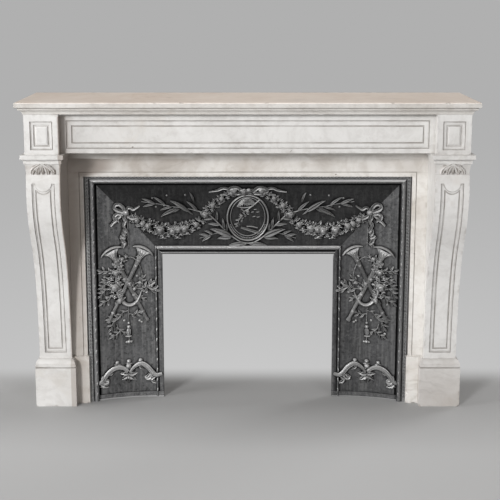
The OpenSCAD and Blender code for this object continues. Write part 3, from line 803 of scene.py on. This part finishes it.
def beside(line, offset, swell):
    """The line moved sideways by the offset, which swells along it."""
    line = np.array(line, float)
    run = np.gradient(line, axis=0)
    run /= np.linalg.norm(run, axis=1)[:, None]
    return line + np.c_[-run[:, 1], run[:, 0]] * (offset * along(len(line), *swell))[:, None]


def garland(work, line, width, swell, seed, lift=0.0):
    """A swag of roses on two rows of small flowers among leaves, as wide as width."""
    for side in (1, -1):
        edge = beside(line, side * width * 0.26, swell)
        for lean, at in ((42, 1), (98, 3)):
            strung(work, rose_leaf, edge, width * 0.62, (width / 27, width / 21), side * lean, 22,
                   seed + at + side, swell, lift=lift)
        row = beside(line, side * width * 0.24, swell)
        strung(work, small_flower, row[1 + side:], width * 0.5, (width / 49, width / 40), 0, 90,
               seed + 6 + side, swell, lift=lift + 2.5)
    strung(work, rose_head, line, width * 0.95, (width / 40, width / 32), 0, 90, seed + 11, swell,
           lift=lift + 5.5)


def grow(work, shape, base, tip):
    """Lays a leaf from its base to its tip."""
    turn = math.degrees(math.atan2(tip[1] - base[1], tip[0] - base[0]))
    work.join(shape, base, turn, math.dist(base, tip) / 10)


def twigs(work, *each):
    """Short bent stems with five leaves, each given by its two ends, the size of its leaves and its bend."""
    for x, z, tip_x, tip_z, size, bend in each:
        base, tip = np.array((x, z), float), np.array((tip_x, tip_z), float)
        run = (tip - base) / np.linalg.norm(tip - base)
        side = np.array([-run[1], run[0]])
        stem = smooth([base, (base + tip) / 2 + side * bend, tip], 4)
        carve(work, stem, along(len(stem), 1.6, 1.0), 4.0)
        n = len(stem) - 1
        facing = math.degrees(math.atan2(run[1], run[0]))
        for share, lean in ((0.25, 48), (0.45, -46), (0.7, 42), (0.85, -40), (1.0, 0)):
            work.join(twig_leaf_work, stem[round(n * share)], facing + lean, size * 1.3)


def medallion(work):
    """An oval frame round a straw hat, a crook, a spray and a pipe."""
    turn = np.linspace(0, 2 * math.pi, 61)[:-1]

    def oval(wide, high, up=0.0):
        return np.c_[wide * np.cos(turn), MEDAL_Z + up + high * np.sin(turn)]
    field = Relief()
    rings = [(oval(70, 81), -2, -0.9), (oval(69, 80), 1.2, 0.3), (oval(30, 36), 1.4, 0.3),
             (oval(4, 5), 1.4, 0.3)]
    field.add([(x, z, h) for ring, h, c in rings for x, z in ring], between(4, 60),
              [c for ring, h, c in rings for k in range(60)])
    work.join(field)
    carve(work, oval(71, 82), 3.4, 8.0, closed=True)
    carve(work, oval(60, 70, 4), 1.7, 4.6, closed=True)
    low = [(65 * math.cos(a), MEDAL_Z + 1 + 75.5 * math.sin(a))
           for a in np.linspace(math.pi * 1.12, math.pi * 1.88, 30)]
    strung(work, round_bead, low, 5.4, (0.2, 0.24), lift=1.5)
    # straw hat with its crown, brim and band
    up = MEDAL_Z
    for k in range(5):
        arch = smooth([(-35 + 3 * k, up + 43 + k), (-24 + 2 * k, up + 60 - 2 * k), (-3, up + 71 - 6 * k),
                       (16 - 2 * k, up + 62 - 3 * k), (27 - 3 * k, up + 47)], 4)
        carve(work, arch, 2.2, 4.4 + 0.8 * k)
    for k in range(7):
        x = -27 + 8 * k
        carve(work, [(x, up + 44), (0.62 * x - 1, up + 66 - 0.02 * x * x)], 1.0, 8.0)
    carve(work, smooth([(-38, up + 42), (-20, up + 37), (2, up + 38), (20, up + 44)], 6), 2.4, 6.0)
    carve(work, smooth([(-24, up + 33), (-12, up + 24), (-2, up + 30)], 5), 2.0, 5.0)
    # crook and pipe
    carve(work, [(-2, up + 28), (20, up + 46), (44, up + 68)], 2.3, 6.0)
    carve(work, [(-24, up - 36), (-4, up - 41), (20, up - 49), (36, up - 53), (44, up - 57)],
          [3.4, 5.4, 6.4, 5.6, 2.6], [7, 10, 10, 9, 6], BLADE)
    carve(work, smooth([(-4, up - 32), (16, up - 33), (34, up - 38)], 4), 2.0, 4.0)
    garland(work, smooth([(0, up + 22), (-10, up + 14), (-22, up + 6)], 6), 22, (1, 1, 1), 70)
    twigs(work, (-16, up + 8, -36, up - 24, 1.3, -4))
    work.scatter(daisy_work, ((-30, up - 6), (-22, up - 12), (-36, up - 30), (-28, up + 4)), size=0.42)
    for x, z in ((16, up + 20), (26, up + 30), (34, up + 20), (22, up + 4), (36, up + 2)):
        carve(work, [(x - 7, z - 1), (x, z), (x + 7, z + 1.5)], [0.8, 1.8, 0.8], [1.2, 3.0, 1.2])


def ribbon(work, points, width, steps=6, lift=0.0, ends=(1.0, 1.0), height=4.0):
    """A smooth ribbon with raised edges, narrowed to the given shares of its width at its ends."""
    path = smooth(points, steps)
    carve(work, path, width * along(len(path), ends[0], 1.0, ends[1]), height, RIBBON, lift=lift)


def top_work():
    """The medallion, rose garlands, olive twigs and crossed laurel of the top plate."""
    half = Relief()
    # olive twig
    stem = smooth([(150, 674), (176, 682), (200, 688), (232, 694), (262, 697), (292, 704), (330, 710),
                   (368, 716)], 4)
    carve(half, stem, along(len(stem), 2.4, 1.8, 1.2), along(len(stem), 5, 4, 3))
    for base, tip in (((204, 681), (268, 719)), ((174, 684), (212, 716)), ((186, 716), (201, 750)),
                      ((247, 692), (302, 660)), ((236, 690), (280, 669)), ((286, 706), (326, 732)),
                      ((320, 709), (366, 726)), ((322, 708), (364, 696)), ((262, 698), (304, 684)),
                      ((210, 688), (190, 668))):
        grow(half, long_leaf_work, base, tip)
    half.scatter(bead_work, ((290, 700), (280, 738), (236, 706), (330, 728), (318, 696), (216, 740)),
                 size=0.36)
    swag = smooth([(424, 668), (409, 660), (388, 648), (366, 634), (330, 620), (302, 611), (270, 609),
                   (238, 613), (199, 624), (167, 640), (150, 664)], 3)
    garland(half, swag, 42, (0.5, 0.85, 1.1, 1.2, 1.2, 1.0, 0.6), 21)
    half.scatter(rose_work, ((148, 668, 1.25), (302, 612, 1.2), (242, 614, 1.35), (366, 634, 1.1)), lift=5)
    for x, z in ((296, 582), (245, 582), (210, 596)):
        for turn in (-160, -95, -30):
            half.join(leaf_work, (x, z + 5), turn=turn, size=1.5)
        half.join(bead_work, (x, z + 2), size=0.5, lift=1)
    wreath = smooth([(146, 668), (136, 684), (122, 700), (98, 720), (78, 734), (56, 746)], 4)
    garland(half, wreath, 32, (1.1, 1.0, 0.85), 41)
    # crossed laurel
    stem = smooth([(-44, 552), (-14, 562), (20, 567), (46, 582), (68, 600), (94, 627), (116, 650),
                   (140, 674)], 4)
    carve(half, stem, along(len(stem), 1.4, 3.0, 2.2), along(len(stem), 3, 6, 5))
    for base, tip in (((56, 590), (130, 615)), ((58, 585), (106, 580)), ((120, 597), (152, 609)),
                      ((134, 591), (170, 596)), ((128, 592), (160, 570)), ((84, 616), (90, 656)),
                      ((98, 630), (138, 634)), ((110, 644), (108, 682)), ((122, 654), (154, 648)),
                      ((14, 564), (66, 556)), ((-6, 562), (-42, 562)), ((74, 606), (76, 636))):
        grow(half, laurel_work, base, tip)
    carve(half, smooth([(94, 603), (120, 597), (168, 582)], 4), 1.2, 3.5)
    # ribbon over the medallion
    ribbon(half, [(16, 752), (36, 768), (58, 766), (66, 755), (46, 747), (22, 748)], 6, lift=2, height=6)
    ribbon(half, [(58, 760), (84, 766), (104, 758), (134, 752)], 5.0, ends=(0.9, 0.4), height=5.5)
    ribbon(half, [(52, 750), (76, 744), (96, 742)], 4.4, ends=(0.9, 0.4), height=5)
    half.join(rose_work, (47, 754), size=1.15, lift=5)
    work = Relief()
    work.join(half)
    other = half.mirrored()
    work.add(other.points, other.faces, other.crests)
    medallion(work)
    for turn in (200, 160, 20, -20, 235, 305):
        work.join(leaf_work, (0, 752), turn=turn, size=2.6)
    work.join(rose_work, (-15, 752), size=1.3, lift=5)
    work.join(bead_work, (3, 757), size=0.95, lift=4)
    # leaves along the outer border
    line = [(-545, EDGE_Z - 10), (545, EDGE_Z - 10)]
    for lean in (24, -24):
        strung(work, border_leaf, line, 12, (1.25, 1.25), lean, 0, 5, lift=BORDER_LIFT / BOLD)
    return work


def trumpet(work, foot, mouth, spread, bow):
    """A flared horn: its pipe, its fluted bell and the thick rim of the bell."""
    foot, mouth = np.array(foot, float), np.array(mouth, float)
    run = mouth - foot
    length = np.linalg.norm(run)
    run /= length
    side = np.array([-run[1], run[0]])
    from_mouth = np.array([0, 5, 11, 19, 30, 46, 70, 110, 170, length - 12, length - 10, length])
    widths = np.array([33, 25, 18, 12.5, 9.4, 7.8, 7.0, 6.4, 6.0, 5.6, 7.6, 7.2]) * spread / 35
    heights = np.array([3, 5, 7, 9, 10, 10, 9.5, 9, 8.5, 8, 9, 8])
    flutes = [(-1, 0), (-0.96, 0.6), (-0.8, 0.8), (-0.66, 0.5), (-0.4, 0.97), (-0.2, 0.65), (0, 1),
              (0.2, 0.65), (0.4, 0.97), (0.66, 0.5), (0.8, 0.8), (0.96, 0.6), (1, 0)]
    carve(work, mouth - run * from_mouth[::-1, None], widths[::-1], heights[::-1], flutes)
    for back in (40, 60, 0.62 * length, 0.86 * length):
        q = mouth - run * back
        carve(work, [q - 2.5 * run, q + 2.5 * run], 8.0, 10.0)
    s = np.linspace(-1, 1, 17)
    rim = [mouth + side * spread * 1.08 * v + run * bow * (0.75 - v * v) for v in s]
    carve(work, rim, 5.2 * np.sqrt(1 - 0.8 * s ** 2), 11.0 * np.sqrt(1 - 0.5 * s ** 2))


def cheek_work():
    """The bow, crossed horns, wreath, sprigs, tassel and bottom scrolls of a cheek."""
    work = Relief()
    # bow and its hanging ribbon
    ribbon(work, [(426, 676), (431, 694), (443, 706), (456, 705), (461, 695), (452, 685), (432, 678)], 6.0,
           lift=1, height=8.5)
    ribbon(work, [(422, 678), (416, 692), (407, 694), (397, 688), (385, 694), (374, 702)], 5.6, lift=1,
           ends=(0.8, 0.4), height=7.5)
    ribbon(work, [(420, 668), (408, 657), (394, 655), (382, 661)], 6.0, lift=1, ends=(0.7, 0.4), height=7.5)
    ribbon(work, [(432, 668), (450, 672), (462, 664), (458, 650), (466, 642), (476, 630)], 6.5,
           ends=(0.8, 0.6), height=8)
    ribbon(work, [(440, 664), (452, 654), (446, 642)], 5, ends=(0.8, 0.5), height=7)
    work.join(bead_work, (423, 674), size=1.15, lift=3)
    for a, b in (((430, 668), (424, 646)), ((422, 648), (434, 624)), ((430, 628), (420, 604)),
                 ((434, 616), (426, 592)), ((442, 596), (426, 584)), ((438, 584), (424, 562)),
                 ((428, 568), (436, 550))):
        ribbon(work, [a, ((a[0] + b[0]) / 2 + 2, (a[1] + b[1]) / 2), b], 6.4, ends=(0.6, 0.7), height=9)
    carve(work, [(419, 668), (418, 610), (417, 556)], 1.4, 3.0)
    for x, z, turn in ((440, 606, 215), (448, 588, 200), (436, 562, 70)):
        work.join(leaf_work, (x, z), turn=turn, size=2.0)
    # oval ring, thin on its inner side
    turn = np.linspace(0, 2 * math.pi, 61)[:-1]
    ring = np.c_[415 + 45 * np.cos(turn), 429 + 87 * np.sin(turn)]
    bulk = np.clip(0.5 + 0.45 * np.cos(turn) + 0.2 * np.abs(np.sin(turn)) - 0.5 * np.sin(turn), 0.24, 1.15)
    carve(work, ring, 6.2 * bulk, 11.0 * bulk, closed=True, crest=0.8)
    # crossed horns
    trumpet(work, (355, 283), (476, 540), 35, 12)
    trumpet(work, (490, 283), (366, 540), 35, 12)
    work.scatter(daisy_work, ((470, 520), (462, 510), (374, 524), (384, 516), (426, 520)), 20, 0.7, 5)
    # flowers down the ring's outer side
    cascade = smooth([(438, 512), (450, 494), (458, 470), (463, 446), (465, 421), (460, 392), (448, 362)], 4)
    garland(work, cascade, 42, (0.7, 0.95, 1.15, 1.15, 0.8), 61, lift=4.5)
    twigs(work, (472, 458, 508, 470, 1.7, 5), (478, 444, 500, 436, 1.5, -4), (482, 408, 512, 384, 1.7, 6),
          (476, 384, 506, 358, 1.7, -6), (484, 424, 510, 412, 1.4, 4))
    work.scatter(daisy_work, ((500, 450), (494, 372), (508, 398), (488, 350)), size=0.55)
    # flowers where the horns cross, and the inner spray
    garland(work, smooth([(432, 436), (418, 426), (410, 412), (398, 402)], 4), 24, (1, 1, 1), 64)
    twigs(work, (392, 400, 346, 418, 2.1, 6), (372, 408, 330, 398, 2.0, -4), (398, 388, 372, 366, 1.5, 5),
          (396, 420, 372, 440, 1.5, 5))
    grow(work, leaf_work, (352, 414), (322, 430))
    grow(work, leaf_work, (350, 408), (322, 398))
    work.scatter(bead_work, ((390, 446), (356, 386), (344, 410), (378, 422), (364, 392)), size=0.5)
    carve(work, smooth([(402, 380), (388, 362), (394, 346), (412, 344)], 4), 3.2, 7)
    # lower sprigs
    carve(work, [(421, 342), (421, 318), (420, 276)], 1.5, 3.5)
    twigs(work, (420, 310, 384, 314, 1.6, 4), (422, 322, 452, 300, 1.4, 6), (448, 304, 482, 296, 1.7, -5),
          (456, 294, 480, 262, 1.6, 7), (462, 276, 440, 244, 1.5, 6), (452, 250, 476, 232, 1.5, -4))
    work.scatter(bead_work, ((383, 283), (376, 278), (484, 240), (436, 286)), size=0.5)
    # tassel
    work.scatter(bead_work, ((421, 276, 0.5), (421, 262, 0.7), (421, 207, 0.7), (429, 206, 0.5),
                             (413, 207, 0.5)), lift=1)
    carve(work, [(421, 258), (421, 252), (422, 243), (422, 236), (422, 230)],
          [3, 8, 9.5, 8, 4], [5, 8, 9, 8, 5],
          [(-1, 0), (-0.8, 0.7), (-0.45, 0.6), (-0.2, 1), (0.15, 0.75), (0.4, 0.95), (0.8, 0.7), (1, 0)])
    carve(work, [(412, 229), (422, 227), (433, 229)], [2.4, 3.2, 2.4], 7)
    carve(work, [(421, 226), (421, 210)], 1.5, 3)
    # scrolls
    for points in ([(547, 54), (534, 60), (514, 70), (500, 90), (484, 106), (462, 115), (442, 111),
                    (427, 98)],
                   [(420, 94), (408, 110), (392, 122), (376, 125), (356, 111), (340, 91), (326, 82),
                    (306, 86)]):
        path = smooth(points, 5)
        n = len(path)
        carve(work, path, 7.6 * along(n, 0.55, 0.9, 1.15, 1.1, 0.75), 11 * along(n, 0.7, 1, 1, 1, 0.8),
              [(-1, 0), (-0.9, 0.5), (-0.6, 0.6), (-0.42, 1), (0.1, 0.95), (0.3, 0.6), (0.55, 0.9),
               (0.9, 0.7), (1, 0)])
    for turns in ([(512, 88), (516, 74), (508, 60), (496, 60), (494, 70), (502, 74)],
                  [(350, 100), (344, 84), (348, 70), (360, 66), (366, 74), (358, 80)]):
        path = smooth(turns, 5)
        carve(work, path, along(len(path), 5, 4.5, 3), along(len(path), 8, 8, 5))
    for x, z, angle, size in (
            (520, 60, -150, 3.2), (502, 60, -30, 2.8), (490, 66, 20, 2.6), (478, 96, -30, 2.2),
            (330, 76, -30, 3.2), (346, 64, -150, 2.8), (366, 72, 140, 2.6), (388, 116, -140, 2.2),
            (424, 84, -90, 3.2), (424, 84, -145, 3.2), (424, 84, -35, 3.2), (424, 88, 175, 3.2),
            (424, 88, 5, 3.2)):
        work.join(leaf_work, (x, z), turn=angle, size=size)
    work.scatter(bead_work, ((463, 132, 0.75), (423, 135, 0.8), (382, 137, 0.75), (424, 117, 1.0),
                             (424, 74, 0.7)), lift=1)
    for x, z in ((463, 128), (423, 130), (382, 133), (424, 112)):
        for angle in (-160, -90, -20):
            work.join(leaf_work, (x, z), turn=angle, size=1.3)
    # fascia along the floor
    base_line = np.c_[np.linspace(536, FIRE_HALF + 0.5, 24), np.full(24, 9.0)]
    carve(work, base_line, 9.0, 3.5, [(-1, 0.9), (0.6, 0.9), (0.75, 1.6), (0.95, 1.6), (1, 0.4)], sink=2,
          crest=0.5)
    # long pearls on both borders and leaves along the outer one
    strung(work, border_pearl, [(323, 26), (323, 548)], 36.5, (1.6, 1.6), 10, 0, 5, lift=5.5 / BOLD)
    strung(work, border_pearl, [(531.5, 26), (531.5, 772)], 37.5, (1.7, 1.7), 10, 0, 5, lift=17.5 / BOLD)
    for lean in (24, -24):
        strung(work, border_leaf, [(OPENING - 10, 16), (OPENING - 10, EDGE_Z - 16)], 12, (1.25, 1.25),
               lean, 0, 5, lift=BORDER_LIFT / BOLD)
    return work


def cap_depth(x, z):
    """How far the hollow bell of a console's cap lies behind the shelf's front edge."""
    rise = np.clip((z - CAP_LOW) / CAP_RISE, 0, 1)
    return CAP_FRONT + 1.6 * (14 - 5 * (1 - np.sqrt(1 - rise * rise)))


def cap_leaf():
    """Five lobes of a leaf that hang over the bell of a cap, with the hollows between them."""
    work = Relief()
    for foot, half_width, top in ((0, 5.5, 0), (17, 8, 3), (-17, 8, -3), (35, 8.5, 7), (-35, 8.5, -7)):
        path = smooth([(JAMB_X + top, 877), (JAMB_X + 0.45 * foot + top, 866),
                       (JAMB_X + 0.85 * foot + top * 0.6, 853), (JAMB_X + foot, CAP_LOW + 0.5)], 4)
        n = len(path)
        carve(work, path, half_width * along(n, 0.35, 0.8, 1.0, 0.72), along(n, 5, 8.5, 10, 7) / BOLD,
              [(-1, 0), (-0.8, 0.55), (-0.45, 1), (-0.15, 0.72), (0, 0.6), (0.15, 0.72), (0.45, 1),
               (0.8, 0.55), (1, 0)], sink=3)
    for side in (1, -1):
        carve(work, [(JAMB_X + side * 14, 874), (JAMB_X + side * 34, 873)], 3.0, 3.0 / BOLD, sink=3)
    return work


# ------------------------------------------------------------------ making it
set_camera()
set_room()
lamp("key", (-5.6, -9.6, 3.9), (0, 0, 0.5), (2.0, 2.0), 850)
lamp("left", (-4.8, -1.5, 1.5), (0.6, 0, 0.6), (1.4, 1.4), 112)
lamp("fill", (2.4, -4.6, 3.0), (0.5, 0, 0.9), (2.0, 1.4), 42)
lamp("overhead", (0, -0.1, 3.2), (0, 0, 1), (2.4, 0.8), 44)
lamp("side", (4.0, 2.4, 2.2), (0, 0, 0.6), (1.6, 1.6), 60)

figure_group = marble_figure()
grime_and_shade_group = crease_grime_and_shade()
stain_and_shade_group = stains_and_painted_shade()
white_marble = marble("white marble", (0.755, 0.745, 0.73), (0.615, 0.60, 0.58), (0.42, 0.41, 0.40),
                      (0.55, 0.49, 0.42), {"Vein cover": 0.6, "Stain cover": 0.6, "Vein width": 0.02})
shelf_marble = marble("worn shelf marble", (0.68, 0.66, 0.63), (0.55, 0.52, 0.485), (0.36, 0.33, 0.30),
                      (0.40, 0.33, 0.27), {"Vein cover": 0.5, "Stain cover": 0.56, "Speck size": 0.15},
                      ((0.60, 0.53, 0.47), (0.52, 0.44, 0.38)))
# its ground is paler than the white marble's: painted light, for the light thrown about inside the opening
inner_marble = marble("stained slip marble", (0.82, 0.80, 0.77), (0.66, 0.625, 0.58), (0.46, 0.42, 0.37),
                      (0.42, 0.35, 0.28), {"Vein cover": 0.46, "Stain cover": 0.56})
iron = cast_iron("cast iron", (0.08, 0.081, 0.083), (0.13, 0.131, 0.134), (0.24, 0.24, 0.24),
                 (0.78, 0.78, 0.78))
# painted shade: the right cheek's iron is a darker copy of the left cheek's
shaded_iron = cast_iron("shaded cast iron", (0.05, 0.0505, 0.052), (0.085, 0.0855, 0.088), (0.15, 0.15, 0.15),
                      (0.55, 0.55, 0.55))
# the top plate's iron is darker than the cheeks': partly soot, partly painted shade for a plate that faces
# down under the shelf
sooty_and_shaded_iron = cast_iron("sooty and shaded cast iron", (0.016, 0.016, 0.0165), (0.034, 0.034, 0.035), (0.06, 0.06, 0.06),
                       (0.62, 0.62, 0.62))

# breaks in each piece's front: share of its width, share of its height, radius
BROKEN = {
    "shelf": nicks(16, (0.98, 0.46), 4),
    "frieze": ((0.35, 0, 4), (0.72, 0, 3.5)),
    "right_frieze_block": ((1, 0, 4),),
    "left_foot_block": ((0, 0, 6), (0.5, 0.02, 3)),
    "right_foot_block": ((1, 0, 9), (1, 0.3, 4), (0, 0.02, 6)),
    "left_slip_plinth": ((1, 0, 6),),
    "right_slip_plinth": ((0, 0.0, 10), (0, 0.22, 8), (0.5, 0, 7))}
for name in ("frieze", "left_frieze_block", "right_frieze_block", "left_jamb", "right_jamb",
             "left_foot_block", "right_foot_block", "left_return", "right_return"):
    worn_stone(name, "marble", white_marble)
for name in ("top_slip", "left_slip", "right_slip", "left_slip_plinth", "right_slip_plinth"):
    worn_stone(name, "inner_marble", inner_marble)
worn_stone("shelf", "shelf_marble", shelf_marble)

rose_work, daisy_work, bead_work = rose(), daisy(), bead()
# the border's leaves get a high crest and show bright: partly wear, partly painted light where the marble's
# edge shades them
leaf_work, band_leaf_work = leaf(), leaf(False, 0.17, 0.9)
long_leaf_work, laurel_work = leaf(False, 0.1, 1.1), leaf(False, 0.14, 1.1)
twig_leaf_work = leaf(False, 0.2, 1.0)
stringer_tree = stringer()
rose_head = template(rose_work, "rose_head")
small_flower = template(daisy_work, "small_flower")
round_bead = template(bead_work, "round_bead")
border_pearl = template(rice_bead(), "border_pearl")
rose_leaf = template(leaf_work, "rose_leaf")
border_leaf = template(band_leaf_work, "border_leaf")

cheek = cheek_work()
right_cheek = casting("right_cheek_casting", cheek_plate(), cheek)
left_cheek = casting("left_cheek_casting", cheek_plate(), cheek, side=-1)
top_casting = casting("top_plate_casting", top_plate(), top_work())
finish_piece(right_cheek, shaded_iron, "cast_iron", "iron_right_cheek")
finish_piece(left_cheek, iron, "cast_iron", "iron_left_cheek")
finish_piece(top_casting, sooty_and_shaded_iron, "cast_iron", "iron_top_plate")
for side, name in ((-1, "left_jamb"), (1, "right_jamb")):
    leaf_on_cap = casting(name + "_leaf", ([], [], []), cap_leaf(), side, cap_depth)
    finish_piece(leaf_on_cap, white_marble, "marble", name)
for bead_object in (rose_head, small_flower, round_bead, border_pearl, rose_leaf, border_leaf):
    bpy.data.objects.remove(bead_object)

bpy.context.scene.view_settings.view_transform = "Standard"
